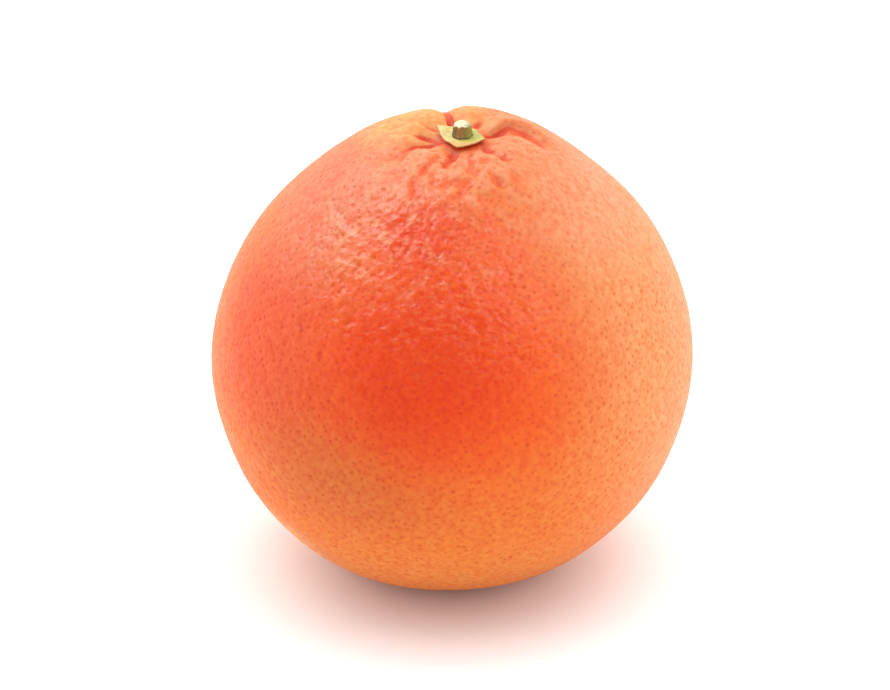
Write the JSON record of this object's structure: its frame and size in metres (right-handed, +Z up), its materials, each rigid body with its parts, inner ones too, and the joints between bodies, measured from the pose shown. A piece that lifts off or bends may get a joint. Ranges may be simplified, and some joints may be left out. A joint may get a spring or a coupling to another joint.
{
  "type": "grapefruit",
  "caption": "Whole grapefruit with its dried calyx and a cut stem stub, resting upright on a small flat spot at the blossom end.",
  "frame": {"origin": "middle of the flat spot at the blossom end that the fruit rests on, under the centre of its bounding box", "axes": "+Z up along the core, from the blossom end to the stem end; -Y towards the side shown in the picture, with +X to its right"},
  "size_m": [0.108, 0.108, 0.106],
  "materials": {
    "rind": "waxy citrus rind with fine oil-gland pits, orange with a red blush",
    "dried_sepal": "dry, matt, yellow with a green collar",
    "cut_stem": "ribbed green-brown bark with a pale cut face"
  },
  "bodies": {
    "root": {"fruit": "rind", "calyx": "dried_sepal", "stem": "cut_stem"}
  },
  "joints": []
}
